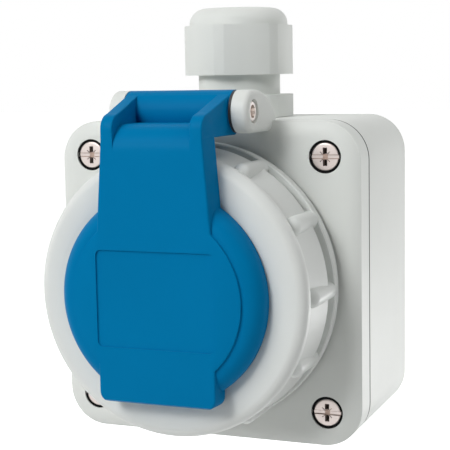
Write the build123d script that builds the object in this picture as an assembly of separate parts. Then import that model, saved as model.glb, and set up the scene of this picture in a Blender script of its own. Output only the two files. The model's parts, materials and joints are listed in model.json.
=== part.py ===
from build123d import *
import math
import os

# Surface mount socket outlet with a hinged lid and a bayonet ring.
# Millimetres. Origin at the centre of the wall face, +X right, +Z up, front towards -Y.
# Depths are given as the distance forward of the wall, so a depth d lies at y = -d.

# Enclosure
enclosure_width = 89.2
enclosure_depth = 50.6
cover_depth = 9.4
corner_radius = 11.0
wall = 2.8
plate_thickness = 3.0
cover_edge_radius = 8.0
cover_edge_run = 4.5
box_edge_round = 0.8
seam_bevel = 0.25

# Cover screws, their seals and bosses
cover_screw_inset = 9.6
cover_screw_radius = 2.0
cover_screw_point = 0.8
cover_head_radius = 3.8
cover_head_height = 2.7
cover_head_edge = 0.5
cover_head_sink = 0.15
cover_screw_bite = 12.0
cover_boss_radius = 7.0
seal_outer_radius = 4.5
seal_base = 1.0
seal_lip_drop = 0.35
drive_width = 1.15
drive_length = 4.7
drive_depth = 1.7
slot_depth = 0.8
thread_gap = 0.02
shank_gap = 0.3
pilot_spare = 1.0

# Seam gasket
gasket_inset = 0.7
gasket_width = 1.4
gasket_height = 1.6

# Wall fixings
wall_hole_radius = 2.6
wall_hole_spacing_x = 44.0
wall_hole_spacing_z = 60.0
wall_hole_boss_radius = 5.2
wall_hole_boss_height = 1.5

# Collar on the cover, with its bayonet studs
collar_radius = 28.5
collar_wall = 2.5
collar_reach = 18.7
collar_edge = 0.6
collar_foot = 0.8
stud_height = 2.7
stud_length = 4.0
stud_gap = 0.4
stud_half_angle = 7.0
stud_angle = -15.0
stud_count = 2

# Hinge
hinge_reach = 12.7
hinge_rise = 3.0
barrel_radius = 5.7
barrel_half_length = 15.0
lug_gap = 0.4
lug_width = 4.5
lug_edge_round = 1.3
lug_foot_back = 5.2
lug_foot_rise = 0.9
lug_back_rise = 7.1
lug_back_reach = 2.6
pin_radius = 2.35
pin_lug_gap = 0.02
pin_running_gap = 0.05
pin_recess_radius = 3.1
pin_recess_depth = 1.6
pin_end_drop = 0.4
pin_dish_radius = 1.6
pin_dish_bottom = 0.2
pin_dish_depth = 0.9

# Lid
lid_reach = 33.8
lid_radius = 29.0
lid_face_radius = 23.7
lid_face_step = 0.8
lid_rim_drop = 5.6
lid_wall = 2.6
lid_rim_wall = 2.2
lid_edge = 0.6
hub_radius = 24.0
hub_wall = 2.4
strap_top_half_width = 14.1
strap_neck_half_width = 15.9
strap_tab_half_width = 16.35
strap_neck_height = 18.0
tab_height = 27.0
tab_depth = 6.0
tab_corner_radius = 2.5
strap_depth = 7.4
strap_draft = 3.0
strap_side_wall = 2.4
arm_shoulder_drop = 4.8
arm_shoulder_rise = 0.4
arm_shoulder_fall = 1.2
arm_shoulder_radius = 5.0
arm_under_drop = 6.1
rib_width = 3.4
ledge_drop = 2.6
nose_radius = 7.0
label_width = 33.0
label_height = 25.5
label_centre = -0.15
label_depth = 0.6
label_corner_radius = 1.5

# Bayonet ring
ring_face_reach = 25.6
ring_front_wall = 2.5
ring_hub_gap = 0.3
ring_lid_gap = 0.3
ridge_radius = 35.1
ridge_round = 3.0
ridge_reach = 23.2
ring_inner_radius = 33.6
ring_inner_bevel = 1.0
band_front_radius = 36.5
band_back_radius = 38.5
band_back_reach = 8.8
groove_radius = 36.4
groove_back_reach = 5.2
flange_radius = 39.2
flange_bevel = 0.3
ring_back_reach = 1.9
grip_count = 12
grip_width = 5.0
grip_radius = 39.4
grip_front_reach = 20.8
lug_inner_radius = 29.3
lug_thickness = 3.0
lug_back_gap = 5.6
lock_angle = 30.0

# Lid retainer, its screws and the lid gasket
retainer_thickness = 1.8
retainer_radius = 31.0
retainer_gap = 0.3
retainer_screw_spacing = 25.0
retainer_screw_radius = 1.4
retainer_head_radius = 2.6
retainer_head_height = 1.3
retainer_boss_radius = 3.0
retainer_screw_bite = 5.0
lid_gasket_width = 3.8
lid_gasket_gap = 0.3

# Socket insert
cup_radius = 19.4
cup_depth = 17.5
cup_wall = 2.2
cup_floor = 3.5
cup_edge = 0.5
insert_gap = 0.2
insert_sink = 0.5
insert_face = 2.5
insert_skin = 2.2
flange_seat_radius = 34.0
insert_flange_radius = 33.0
insert_flange = 2.5
seat_depth = 3.0
insert_gasket_thickness = 1.0
insert_screw_radius = 1.25
insert_screw_circle = 30.4
insert_screw_bite = 4.6
insert_head_radius = 2.3
insert_head_height = 1.5
pin_spacing = 19.0
pin_hole_radius = 2.9
guide_width = 5.0
guide_height = 2.2
guide_root = 0.3
guide_top_drop = 2.0

# Contacts and their carrier
contact_bore_radius = 2.43
contact_wall = 0.9
contact_length = 13.0
contact_floor_gap = 0.3
contact_slit = 0.7
contact_fit = 0.1
terminal_width = 7.2
terminal_height = 8.0
terminal_length = 9.0
pin_relief = 3.0
wire_hole_radius = 2.0
wire_hole_depth = 3.6
terminal_screw_radius = 1.7
terminal_head_radius = 2.9
terminal_head_height = 2.2
terminal_screw_protrusion = 0.8
earth_width = 8.0
earth_thickness = 1.0
earth_wall_gap = 1.0
earth_finger_height = 12.0
earth_bend = 1.4
earth_fit = 0.15
stem_width = 5.0
carrier_gap = 0.2
carrier_depth = 12.0
partition_width = 1.3
partition_height = 15.0
partition_overhang = 1.0
carrier_screw_x = 10.5
carrier_screw_z = 12.5
carrier_screw_radius = 1.3
carrier_screw_bite = 2.6
screw_end_gap = 0.3
carrier_head_radius = 2.3
carrier_head_height = 1.5

# Cable gland
gland_depth = 22.2
gland_hole_gap = 0.15
gland_thread_radius = 12.45
gland_flats = 29.0
gland_corner_radius = 15.9
gland_washer_radius = 16.3
gland_washer_thickness = 1.3
gland_hex_height = 5.3
gland_neck_radius = 12.0
gland_neck_height = 5.8
gland_nut_height = 14.3
gland_dome_radius = 14.4
gland_dome_height = 5.0
gland_dome_round = 4.6
gland_mouth_radius = 8.4
gland_mouth_chamfer = 0.8
gland_shank_length = 10.5
gland_bore_radius = 8.6
gland_thread_height = 7.0
gland_claw_height = 6.0
gland_claw_radius = 10.6
gland_claw_taper = 0.4
gland_claw_slots = 6
gland_claw_slot = 1.0
gland_nut_gap = 0.1
gland_seal_bore = 5.25
gland_seal_height = 12.0
gland_seal_gap = 0.05
locknut_height = 4.0
locknut_flats = 30.0

# Places worked out from the sizes above
seam = enclosure_depth - cover_depth
plate = enclosure_depth
plate_back = plate - plate_thickness
box_top = enclosure_width / 2
cover_screw_spacing = enclosure_width - 2 * cover_screw_inset
rim = plate + collar_reach
collar_bore = collar_radius - collar_wall
lid_front = plate + lid_reach
hinge_depth = plate + hinge_reach
hinge_height = box_top + hinge_rise
arm_under = hinge_height - arm_under_drop
ledge = hinge_height - ledge_drop
ring_face = plate + ring_face_reach
ring_wall_back = ring_face - ring_front_wall
retainer_front = ring_wall_back - retainer_gap
retainer_back = retainer_front - retainer_thickness
seat = plate_back - seat_depth
flange_front = seat - insert_gasket_thickness
flange_back = flange_front - insert_flange
insert_front = rim - insert_sink
floor_front = insert_front - cup_depth
floor_back = floor_front - cup_floor
carrier_back = floor_back - carrier_depth
contact_front = floor_back - contact_floor_gap
terminal_front = contact_front - contact_length
terminal_back = terminal_front - terminal_length
lug_inner_face = barrel_half_length + lug_gap
lug_outer_face = lug_inner_face + lug_width
hex_bottom = box_top + gland_washer_thickness
neck_bottom = hex_bottom + gland_hex_height
nut_bottom = neck_bottom + gland_neck_height
nut_top = nut_bottom + gland_nut_height
gland_top = nut_top + gland_dome_height

TURNING = Plane(origin=(0, 0, 0), x_dir=(1, 0, 0), z_dir=(0, 0, -1))
GLAND_AXIS = Axis((0, -gland_depth, 0), (0, 0, 1))


def prism(sketch, back, front):
    """Extrudes a front-view sketch (x, z) between two depths."""
    return extrude(Plane.XZ.offset(back) * sketch, front - back, dir=(0, -1, 0))


def turned(points):
    """Turns a (radius, depth) outline about the socket axis."""
    return turned_face(Polygon(*points, align=None))


def turned_face(face):
    return revolve(TURNING * face, Axis.Y)


def upright_turned(face):
    """Turns a (radius, height) outline about the gland axis."""
    return revolve(Plane.XZ.offset(gland_depth) * face, GLAND_AXIS)


def side_slab(face, left, right):
    """Extrudes a side-view face (depth, height) from x = left to x = right."""
    side = Plane(origin=(right, 0, 0), x_dir=(0, -1, 0), z_dir=(-1, 0, 0))
    return extrude(side * face, right - left, dir=(-1, 0, 0))


def level(sketch, bottom, top):
    """Extrudes a plan-view sketch round the gland axis between two heights."""
    return extrude(Plane((0, -gland_depth, bottom)) * sketch, top - bottom, dir=(0, 0, 1))


def outline(inset):
    side = enclosure_width - 2 * inset
    return RectangleRounded(side, side, corner_radius - inset)


def annulus(outer, inner):
    return Circle(outer) - Circle(inner)


def four_corners(spacing_x, spacing_z, shape):
    return Sketch() + GridLocations(spacing_x, spacing_z, 2, 2) * shape


def four_screw_places(shape):
    return Sketch() + PolarLocations(insert_screw_circle, 4, start_angle=45) * shape


def sector(inner, outer, angle, half_angle):
    """A piece of an annulus, its middle at an angle from +X towards +Z."""
    far = 2 * outer
    spread = [math.radians(angle + side * half_angle) for side in (-1, 1)]
    points = [(0, 0)] + [(far * math.cos(a), far * math.sin(a)) for a in spread]
    return annulus(outer, inner) & Polygon(*points, align=None)


def screw(shank_radius, tip, neck, head_radius, head_height, forward=True):
    """A screw on the socket axis. forward means that its head points out of the wall."""
    sign = 1 if forward else -1
    shank = prism(Circle(shank_radius), min(tip, neck), max(tip, neck))
    top = neck + sign * head_height
    head = prism(Circle(head_radius), min(neck, top), max(neck, top))
    slot = prism(Rectangle(2 * head_radius, head_radius / 3), *sorted((top, top - sign * head_height / 2)))
    return shank + head - slot


def placed(shapes):
    return Compound(children=list(shapes))


# Enclosure


def corner_bosses(back, front):
    bosses = four_corners(cover_screw_spacing, cover_screw_spacing, Circle(cover_boss_radius))
    return prism(bosses & outline(wall / 2), back, front)


def gasket_loop():
    return outline(gasket_inset) - outline(gasket_inset + gasket_width)


def make_back_box():
    shell = prism(outline(0), 0, seam)
    shell = fillet(shell.faces().sort_by(Axis.Y)[-1].edges(), box_edge_round)
    shell = chamfer(shell.faces().sort_by(Axis.Y)[0].edges(), seam_bevel)
    box = shell - prism(outline(wall), wall, seam) + corner_bosses(wall, seam)
    fixings = four_corners(wall_hole_spacing_x, wall_hole_spacing_z, Circle(wall_hole_boss_radius))
    box += prism(fixings, wall, wall + wall_hole_boss_height)
    fixing_holes = four_corners(wall_hole_spacing_x, wall_hole_spacing_z, Circle(wall_hole_radius))
    box -= prism(fixing_holes, 0, wall + wall_hole_boss_height)
    pilots = four_corners(cover_screw_spacing, cover_screw_spacing, Circle(cover_screw_radius + thread_gap))
    box -= prism(pilots, seam - cover_screw_bite - pilot_spare, seam)
    box -= prism(gasket_loop(), seam - gasket_height / 2, seam)
    box -= level(Circle(gland_thread_radius + gland_hole_gap), box_top - 2 * wall, box_top)
    return box


def make_cover_gasket():
    return prism(gasket_loop(), seam - gasket_height / 2, seam + gasket_height / 2)


def collar_solid():
    foot = collar_radius + collar_foot
    points = [
        (collar_bore, seat),
        (flange_seat_radius, seat),
        (flange_seat_radius, plate - plate_thickness / 2),
        (foot, plate),
        (collar_radius, plate + collar_foot),
        (collar_radius, rim - collar_edge),
        (collar_radius - collar_edge, rim),
        (collar_bore + collar_edge, rim),
        (collar_bore, rim - collar_edge),
    ]
    return turned(points)


def bayonet_studs():
    back = plate + lug_back_gap + lug_thickness + stud_gap
    studs = Part()
    for index in range(stud_count):
        angle = stud_angle + index * 360 / stud_count
        face = sector(collar_radius - collar_wall / 2, collar_radius + stud_height, angle, stud_half_angle)
        studs += prism(face, back, back + stud_length)
    return studs


def lug_profile():
    """Side view of a hinge lug: a round nose on a web that runs back over the cover's top."""
    nose = Pos(hinge_depth, hinge_height) * Circle(barrel_radius)
    foot = (plate - lug_foot_back, box_top + lug_foot_rise)
    crest = (plate + lug_back_reach, box_top + lug_back_rise)
    tangent_offset = barrel_radius / 5
    tangent = (hinge_depth - tangent_offset, hinge_height + math.sqrt(barrel_radius**2 - tangent_offset**2))
    root_height = box_top - wall
    under = (hinge_depth, hinge_height - barrel_radius)
    heel = (plate - plate_thickness, under[1])
    root = (foot[0], root_height)
    web = make_face([Line(root, foot), ThreePointArc(foot, crest, tangent), Polyline(tangent, under, heel, root)])
    return nose + web


def hinge_lug(side):
    low, high = sorted((side * lug_inner_face, side * lug_outer_face))
    lug = side_slab(lug_profile(), low, high)
    outer = lug.faces().sort_by(Axis.X)[-1 if side > 0 else 0]
    lug = fillet(outer.edges(), lug_edge_round)
    hole = hinge_cylinder(pin_radius + pin_lug_gap, low, high)
    recess_floor = side * (lug_outer_face - pin_recess_depth)
    recess = hinge_cylinder(pin_recess_radius, *sorted((recess_floor, side * lug_outer_face)))
    return lug - hole - recess


def hinge_cylinder(radius, left, right):
    return side_slab(Pos(hinge_depth, hinge_height) * Circle(radius), left, right)


def cover_block():
    """The cover's outside: its front edge is an arc that ends on the side before it turns fully."""
    spread = cover_edge_radius - cover_edge_run
    dome = prism(outline(-spread), seam, plate)
    dome = fillet(dome.faces().sort_by(Axis.Y)[0].edges(), cover_edge_radius)
    block = prism(outline(0), seam, plate) & dome
    return chamfer(block.faces().sort_by(Axis.Y)[-1].edges(), seam_bevel)


def make_front_cover():
    shell = cover_block()
    hollow = prism(outline(wall), seam, plate_back) - corner_bosses(seam, plate_back)
    cover = shell - hollow + collar_solid() + bayonet_studs()
    cover += hinge_lug(-1) + hinge_lug(1)
    cover -= prism(Circle(collar_bore), seam, rim)
    pocket_depth = cover_head_height + cover_head_sink + seal_base
    pockets = four_corners(cover_screw_spacing, cover_screw_spacing, Circle(seal_outer_radius))
    cover -= prism(pockets, plate - pocket_depth, plate)
    shanks = four_corners(cover_screw_spacing, cover_screw_spacing, Circle(cover_screw_radius + shank_gap))
    cover -= prism(shanks, seam, plate)
    pilots = four_screw_places(Circle(insert_screw_radius + thread_gap))
    cover -= prism(pilots, seat, seat + insert_screw_bite)
    cover -= prism(gasket_loop(), seam, seam + gasket_height / 2)
    return cover


def make_cover_screws():
    top = plate - cover_head_sink
    neck = top - cover_head_height
    tip = seam - cover_screw_bite
    body = turned(
        [
            (0, tip),
            (cover_screw_radius / 2, tip),
            (cover_screw_radius, tip + cover_screw_point),
            (cover_screw_radius, neck),
            (cover_head_radius, neck),
            (cover_head_radius, top - cover_head_edge),
            (cover_head_radius - cover_head_edge, top),
            (0, top),
        ]
    )
    cross = Rectangle(drive_length, drive_width) + Rectangle(drive_width, drive_length)
    body -= prism(cross, top - drive_depth, top)
    body -= prism(Rectangle(2 * cover_head_radius, drive_width), top - slot_depth, top)
    half = cover_screw_spacing / 2
    return placed(Pos(x, 0, z) * body for x in (-half, half) for z in (-half, half))


def make_cover_screw_seals():
    bottom = plate - cover_head_sink - cover_head_height - seal_base
    lip = plate - cover_head_sink - seal_lip_drop
    seal = turned(
        [
            (cover_screw_radius + shank_gap / 2, bottom),
            (seal_outer_radius, bottom),
            (seal_outer_radius, lip),
            (cover_head_radius, lip),
            (cover_head_radius, bottom + seal_base),
            (cover_screw_radius + shank_gap / 2, bottom + seal_base),
        ]
    )
    half = cover_screw_spacing / 2
    return placed(Pos(x, 0, z) * seal for x in (-half, half) for z in (-half, half))


def make_hinge_pin():
    end = lug_outer_face - pin_end_drop
    pin = hinge_cylinder(pin_radius, -end, end)
    for side in (-1, 1):
        hung = (Align.CENTER, Align.CENTER, Align.MAX)
        dish = Cone(pin_dish_bottom, pin_dish_radius, pin_dish_depth, align=hung)
        pin -= Pos(side * end, -hinge_depth, hinge_height) * Rot(0, side * 90, 0) * dish
    return pin


# Lid


def lid_disc():
    """The round part of the lid: a flat face, a small step and a rounded rim, hollow behind."""
    rim_front = lid_front - lid_rim_drop
    rim_back = ring_face + ring_lid_gap
    step = lid_front - lid_face_step
    inner = lid_radius - lid_rim_wall
    bulge = (lid_radius - lid_face_radius) * (1 - math.sqrt(0.5))
    crown = (lid_radius - bulge, step - bulge)
    face = make_face(
        [
            Line((0, lid_front), (lid_face_radius, lid_front)),
            Line((lid_face_radius, lid_front), (lid_face_radius, step)),
            ThreePointArc((lid_face_radius, step), crown, (lid_radius, rim_front)),
            Line((lid_radius, rim_front), (lid_radius, rim_back)),
            Line((lid_radius, rim_back), (inner, rim_back)),
            Line((inner, rim_back), (inner, rim_front)),
            Line((inner, rim_front), (lid_face_radius, lid_front - lid_wall)),
            Line((lid_face_radius, lid_front - lid_wall), (0, lid_front - lid_wall)),
            Line((0, lid_front - lid_wall), (0, lid_front)),
        ]
    )
    hub = prism(annulus(hub_radius, hub_radius - hub_wall), retainer_front, lid_front - lid_wall / 2)
    bosses = four_corners(retainer_screw_spacing, retainer_screw_spacing, Circle(retainer_boss_radius))
    return turned_face(face) + hub + prism(bosses, retainer_front, lid_front - lid_wall / 2)


def strap_outline(inset, top):
    """Front view of the strap and the tab, with the tab's lower corners rounded."""
    right = [
        (strap_tab_half_width - inset, -tab_height + inset),
        (strap_tab_half_width - inset, -tab_height / 2),
        (strap_neck_half_width - inset, strap_neck_height),
        (strap_top_half_width - inset, top),
    ]
    face = Polygon(*right, *[(-x, z) for x, z in reversed(right)], align=None)
    return fillet(face.vertices().sort_by(Axis.Y)[:2], tab_corner_radius)


def strap_shell():
    """The strap over the lid's face: drafted sides, soft front edges and a hollow back."""
    spread = strap_depth * math.tan(math.radians(strap_draft))
    back = lid_front - strap_depth
    block = extrude(Plane.XZ.offset(back) * strap_outline(-spread, arm_under), strap_depth, taper=strap_draft)
    front_edges = block.faces().sort_by(Axis.Y)[0].edges().sort_by(Axis.Z)
    block = fillet(front_edges[:-1], lid_edge)
    below = Pos(0, -tab_height) * Rectangle(3 * lid_radius, tab_height)
    hollow = prism(strap_outline(strap_side_wall, arm_under), back, lid_front - lid_wall)
    hollow -= prism(below, back, lid_front)
    inside = prism(Circle(lid_radius - lid_rim_wall), back, lid_front - lid_wall)
    return block - prism(below, back, lid_front - tab_depth) - hollow - inside - between_ribs()


def between_ribs():
    """The open wedge between the ribs, above the front of the nose."""
    inner = strap_top_half_width - rib_width
    flare = barrel_half_length - strap_top_half_width
    barrel_back = -hinge_depth + barrel_radius
    back_corner = (inner + flare, barrel_back)
    front_corner = (inner, -lid_front)
    mirrored = [(-x, y) for x, y in (back_corner, front_corner)]
    plan = Polygon(*mirrored, front_corner, back_corner, align=None)
    return Pos(0, 0, ledge - nose_radius) * extrude(plan, 2 * barrel_radius + nose_radius, dir=(0, 0, 1))


def arm_outline():
    """Side view of the arm's ribs, from the hinge barrel down to the strap."""
    slope_end = lid_front - arm_shoulder_drop
    shoulder = hinge_height + arm_shoulder_rise
    back = lid_front - strap_depth
    corner = (lid_front, shoulder - arm_shoulder_fall)
    body = Polygon(
        (hinge_depth, hinge_height + barrel_radius),
        (slope_end, shoulder),
        corner,
        (lid_front, ledge - nose_radius),
        (back, ledge - nose_radius),
        (back, arm_under),
        (hinge_depth, arm_under),
        align=None,
    )
    body = fillet(body.vertices().sort_by_distance(corner)[0], arm_shoulder_radius)
    return body + Pos(hinge_depth, hinge_height) * Circle(barrel_radius)


def nose_outline():
    """Side view between the ribs: the ledge behind the barrel and the rounded top of the strap."""
    centre = (lid_front - nose_radius, ledge - nose_radius)
    bend = Pos(*centre) * (Circle(nose_radius) - Circle(nose_radius - lid_wall))
    quarter = Pos(*centre) * Rectangle(nose_radius, nose_radius, align=(Align.MIN, Align.MIN))
    shelf = Pos(hinge_depth, ledge) * Rectangle(centre[0] - hinge_depth, lid_wall, align=(Align.MIN, Align.MAX))
    return (bend & quarter) + shelf


def lid_arm():
    """Two sloping ribs, the nose between them and the full-width hinge barrel."""
    barrel_back = -hinge_depth + barrel_radius
    plan = Polygon(
        (-barrel_half_length, barrel_back),
        (-barrel_half_length, -hinge_depth),
        (-strap_top_half_width, -lid_front),
        (strap_top_half_width, -lid_front),
        (barrel_half_length, -hinge_depth),
        (barrel_half_length, barrel_back),
        align=None,
    )
    sides = side_slab(arm_outline(), -barrel_half_length, barrel_half_length)
    ribs = sides & extrude(plan, 2 * hinge_height, dir=(0, 0, 1))
    nose = side_slab(nose_outline(), -barrel_half_length, barrel_half_length) & between_ribs()
    barrel = hinge_cylinder(barrel_radius, -barrel_half_length, barrel_half_length)
    return (ribs - between_ribs()) + nose + barrel


def make_lid():
    lid = lid_disc() + strap_shell() + lid_arm()
    lid -= hinge_cylinder(pin_radius + pin_running_gap, -barrel_half_length, barrel_half_length)
    label = Pos(0, label_centre) * RectangleRounded(label_width, label_height, label_corner_radius)
    lid -= prism(label, lid_front - label_depth, lid_front)
    pilots = four_corners(
        retainer_screw_spacing, retainer_screw_spacing, Circle(retainer_screw_radius + thread_gap)
    )
    return lid - prism(pilots, retainer_front, retainer_front + retainer_screw_bite + screw_end_gap)


def make_lid_retainer():
    disc = prism(Circle(retainer_radius), retainer_back, retainer_front)
    hole = Circle(retainer_screw_radius + shank_gap)
    holes = four_corners(retainer_screw_spacing, retainer_screw_spacing, hole)
    return disc - prism(holes, retainer_back, retainer_front)


def make_lid_retainer_screws():
    body = screw(
        retainer_screw_radius,
        retainer_front + retainer_screw_bite,
        retainer_back,
        retainer_head_radius,
        retainer_head_height,
        forward=False,
    )
    half = retainer_screw_spacing / 2
    return placed(Pos(x, 0, z) * body for x in (-half, half) for z in (-half, half))


def make_lid_gasket():
    middle = collar_radius - collar_wall / 2
    ring = annulus(middle + lid_gasket_width / 2, middle - lid_gasket_width / 2)
    return prism(ring, rim + lid_gasket_gap, retainer_back)


# Bayonet ring


def ring_profile():
    """Half section of the ring: dished face, rounded ridge, tapered grip band, groove and rear flange."""
    ridge = plate + ridge_reach
    dish_offset = math.sqrt(ridge_round**2 - (ring_face - ridge) ** 2)
    dish_end = (ridge_radius - dish_offset, ring_face)
    band_front = ridge - math.sqrt(ridge_round**2 - (band_front_radius - ridge_radius) ** 2)
    tilt = math.radians(45)
    crown = (ridge_radius + ridge_round * math.cos(tilt), ridge + ridge_round * math.sin(tilt))
    back = plate + ring_back_reach
    inner = hub_radius + ring_hub_gap
    points = [
        (band_front_radius, band_front),
        (band_back_radius, plate + band_back_reach),
        (groove_radius, plate + band_back_reach),
        (groove_radius, plate + groove_back_reach),
        (flange_radius - flange_bevel, plate + groove_back_reach),
        (flange_radius, plate + groove_back_reach - flange_bevel),
        (flange_radius, back + flange_bevel),
        (flange_radius - flange_bevel, back),
        (ring_inner_radius, back),
        (ring_inner_radius, ring_wall_back - ring_inner_bevel),
        (ring_inner_radius - ring_inner_bevel, ring_wall_back),
        (inner, ring_wall_back),
        (inner, ring_face),
        dish_end,
    ]
    return make_face([ThreePointArc(dish_end, crown, points[0]), Polyline(*points)])


def grip_rib():
    """One bullet-shaped grip rib on the +X side, running back from its round tip to the flange."""
    radius = grip_width / 2
    centre = grip_radius - radius
    tip = plate + grip_front_reach - radius
    shaft = prism(Pos(centre, 0) * Circle(radius), plate + groove_back_reach, tip)
    return shaft + Pos(centre, -tip, 0) * Sphere(radius)


def make_bayonet_ring():
    ring = turned_face(ring_profile())
    rib = grip_rib()
    for index in range(grip_count):
        ring += Rot(0, index * 360 / grip_count, 0) * rib
    for index in range(stud_count):
        angle = stud_angle + lock_angle + index * 360 / stud_count
        lug = sector(lug_inner_radius, (ring_inner_radius + groove_radius) / 2, angle, stud_half_angle)
        ring += prism(lug, plate + lug_back_gap, plate + lug_back_gap + lug_thickness)
    return ring


# Socket insert and contacts


def make_socket_insert():
    outer = collar_bore - insert_gap
    body = turned(
        [
            (0, floor_back),
            (cup_radius, floor_back),
            (cup_radius, flange_back),
            (insert_flange_radius, flange_back),
            (insert_flange_radius, flange_front),
            (outer, flange_front),
            (outer, insert_front - cup_edge),
            (outer - cup_edge, insert_front),
            (cup_radius + cup_edge, insert_front),
            (cup_radius, insert_front - cup_edge),
            (cup_radius, floor_front),
            (0, floor_front),
        ]
    )
    groove = annulus(outer - insert_skin, cup_radius + cup_wall)
    body -= prism(groove, flange_back, insert_front - insert_face)
    for side in (-1, 1):
        guide = Rectangle(guide_height + guide_root, guide_width, align=(Align.MAX, Align.CENTER))
        guide = Rot(0, 0, 90 - 90 * side) * Pos(cup_radius + guide_root, 0) * guide
        body += prism(guide, floor_front - guide_root, insert_front - guide_top_drop)
        body -= prism(Pos(side * pin_spacing / 2, 0) * Circle(pin_hole_radius), floor_back, floor_front)
        slot = Rectangle(earth_width + 2 * earth_fit, earth_thickness + 2 * earth_fit)
        body -= prism(Pos(0, side * earth_finger_centre()) * slot, floor_back, floor_front)
        pilot = Circle(carrier_screw_radius + thread_gap)
        pilot = Pos(side * carrier_screw_x, -side * carrier_screw_z) * pilot
        body -= prism(pilot, floor_back, floor_back + carrier_screw_bite)
    return body - prism(four_screw_places(Circle(insert_screw_radius + shank_gap)), flange_back, flange_front)


def make_insert_gasket():
    ring = annulus(insert_flange_radius, collar_bore)
    return prism(ring - four_screw_places(Circle(insert_screw_radius + shank_gap)), flange_front, seat)


def make_insert_screws():
    tip = seat + insert_screw_bite - screw_end_gap
    body = screw(insert_screw_radius, tip, flange_back, insert_head_radius, insert_head_height, forward=False)
    places = [math.radians(45 + 90 * index) for index in range(4)]
    radius = insert_screw_circle
    return placed(Pos(radius * math.cos(a), 0, radius * math.sin(a)) * body for a in places)


def earth_finger_centre():
    return cup_radius - earth_wall_gap - earth_thickness / 2


def pin_contact(side):
    """Split spring sleeve for one pin, with its terminal block behind."""
    sleeve = annulus(contact_bore_radius + contact_wall, contact_bore_radius)
    sleeve -= Pos(0, contact_bore_radius) * Rectangle(contact_slit, 2 * contact_wall + contact_bore_radius)
    contact = prism(sleeve, terminal_front, contact_front)
    contact += prism(Rectangle(terminal_width, terminal_height), terminal_back, terminal_front)
    contact -= prism(Circle(contact_bore_radius), terminal_front - pin_relief, terminal_front)
    return Pos(side * pin_spacing / 2, 0, 0) * terminal_drilled(contact)


def terminal_drilled(block):
    wire = Pos(0, -(terminal_back + wire_hole_depth), 0) * Cylinder(wire_hole_radius, 2 * terminal_height)
    thread = prism(Circle(terminal_screw_radius + thread_gap), terminal_back, terminal_back + wire_hole_depth)
    return block - wire - thread


def make_earth_contact():
    """Strip behind the cup floor with a sprung finger at each end and a terminal on a stem."""
    front = floor_back
    back = front - earth_thickness
    centre = earth_finger_centre()
    tip = floor_front + earth_finger_height
    bend = tip - earth_finger_height / 3
    half = earth_thickness / 2
    finger = Polygon(
        (back, centre + half),
        (bend, centre + half),
        (tip, centre + half - earth_bend),
        (tip, centre - half - earth_bend),
        (bend, centre - half),
        (back, centre - half),
        align=None,
    )
    strip = Pos((front + back) / 2, 0) * Rectangle(earth_thickness, 2 * centre)
    profile = finger + strip + mirror(finger, about=Plane.XZ)
    contact = side_slab(profile, -earth_width / 2, earth_width / 2)
    contact += prism(Rectangle(stem_width, stem_width), terminal_front, back + earth_thickness / 2)
    contact += prism(Rectangle(terminal_width, terminal_height), terminal_back, terminal_front)
    return terminal_drilled(contact)


def make_contact_carrier():
    carrier = prism(Circle(cup_radius - carrier_gap), carrier_back, floor_back)
    partition_x = pin_spacing / 4
    for side in (-1, 1):
        wall_sketch = Pos(side * partition_x, 0) * Rectangle(partition_width, partition_height)
        carrier += prism(wall_sketch, terminal_back - partition_overhang, carrier_back)
        bore = Circle(contact_bore_radius + contact_wall + contact_fit)
        carrier -= prism(Pos(side * pin_spacing / 2, 0) * bore, carrier_back, floor_back)
        hole = Pos(side * carrier_screw_x, -side * carrier_screw_z) * Circle(carrier_screw_radius + shank_gap)
        carrier -= prism(hole, carrier_back, floor_back)
    strip_length = 2 * earth_finger_centre() + earth_thickness
    channel = Rectangle(earth_width + 2 * earth_fit, strip_length + 2 * earth_fit)
    carrier -= prism(channel, floor_back - earth_thickness, floor_back)
    stem_side = stem_width + 2 * earth_fit
    return carrier - prism(Rectangle(stem_side, stem_side), carrier_back, floor_back)


def make_terminal_screws():
    tip = terminal_back + wire_hole_depth - wire_hole_radius + terminal_screw_protrusion
    body = screw(
        terminal_screw_radius, tip, terminal_back, terminal_head_radius, terminal_head_height, forward=False
    )
    return placed(Pos(x, 0, 0) * body for x in (-pin_spacing / 2, 0, pin_spacing / 2))


def make_carrier_screws():
    tip = floor_back + carrier_screw_bite - screw_end_gap
    body = screw(
        carrier_screw_radius, tip, carrier_back, carrier_head_radius, carrier_head_height, forward=False
    )
    return placed(Pos(side * carrier_screw_x, 0, -side * carrier_screw_z) * body for side in (-1, 1))


# Cable gland


def gland_hex():
    """Hexagon with a corner to the front, its corners turned down to a circle."""
    hexagon = RegularPolygon(gland_flats / 2, 6, major_radius=False, rotation=30)
    return hexagon & Circle(gland_corner_radius)


def make_gland_washer():
    return level(annulus(gland_washer_radius, gland_thread_radius), box_top, hex_bottom)


def make_gland_body():
    body = level(gland_hex(), hex_bottom, neck_bottom)
    body += level(Circle(gland_thread_radius), box_top - gland_shank_length, hex_bottom)
    thread_top = nut_bottom + gland_thread_height
    body += level(Circle(gland_neck_radius), neck_bottom, thread_top)
    claw_top = thread_top + gland_claw_height
    claw_outer = [
        (0, thread_top),
        (gland_claw_radius + gland_claw_taper, thread_top),
        (gland_claw_radius, claw_top),
        (0, claw_top),
    ]
    body += upright_turned(Polygon(*claw_outer, align=None))
    slot = Rectangle(2 * gland_neck_radius, gland_claw_slot)
    for index in range(gland_claw_slots // 2):
        body -= level(Rot(0, 0, index * 360 / gland_claw_slots) * slot, thread_top, claw_top)
    return body - level(Circle(gland_bore_radius), box_top - gland_shank_length, claw_top)


def gland_seal_bottom():
    return nut_bottom + gland_thread_height + gland_claw_height - gland_seal_height


def make_gland_seal():
    ring = annulus(gland_bore_radius - gland_seal_gap, gland_seal_bore)
    return level(ring, gland_seal_bottom(), gland_seal_bottom() + gland_seal_height)


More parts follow.
